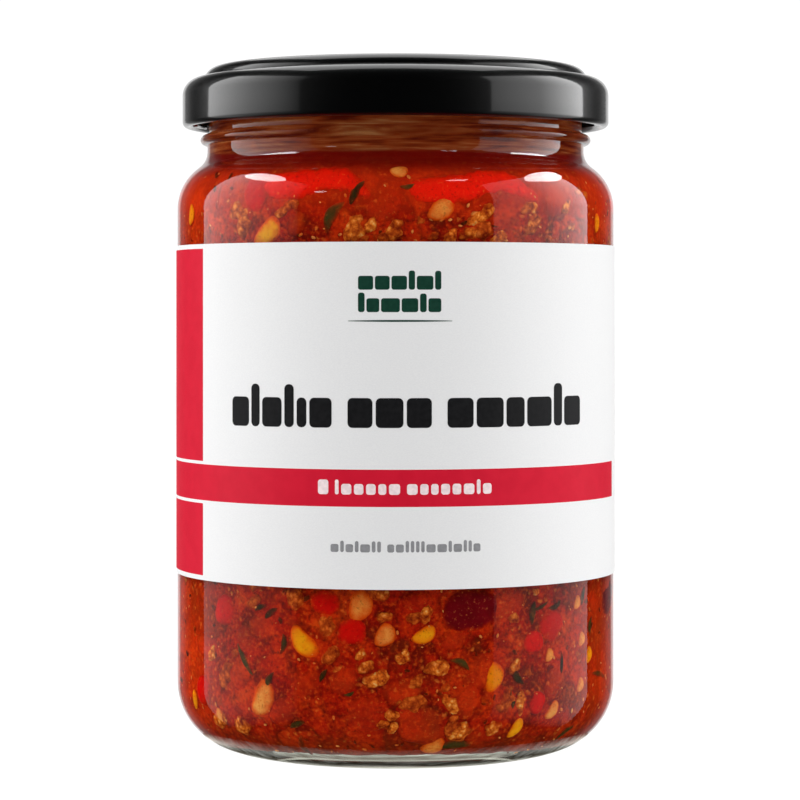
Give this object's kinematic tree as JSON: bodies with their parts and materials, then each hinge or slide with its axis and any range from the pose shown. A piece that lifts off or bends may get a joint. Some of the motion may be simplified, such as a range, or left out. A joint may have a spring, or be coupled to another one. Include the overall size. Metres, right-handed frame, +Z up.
{
  "type": "sealed glass jar of chili con carne",
  "caption": "Round glass jar of chili con carne with a black twist-off lid and a wrapped paper label in red and white.",
  "frame": {"origin": "on the jar's axis, in the plane it stands on", "axes": "+Z up along the jar's axis; -Y is the front of the label, +X to the right when facing it"},
  "size_m": [0.0882, 0.0882, 0.1366],
  "materials": {
    "glass": "polished",
    "lid_lacquer": "gloss",
    "label_paper": "satin",
    "chili_sauce": "satin",
    "meat": "satin",
    "corn_and_bean": "satin",
    "kidney_bean": "satin",
    "red_pepper": "satin",
    "herb": "satin"
  },
  "bodies": {
    "root": {"jar": "glass", "lid": "lid_lacquer", "label": "label_paper", "chili": "chili_sauce"}
  },
  "joints": []
}
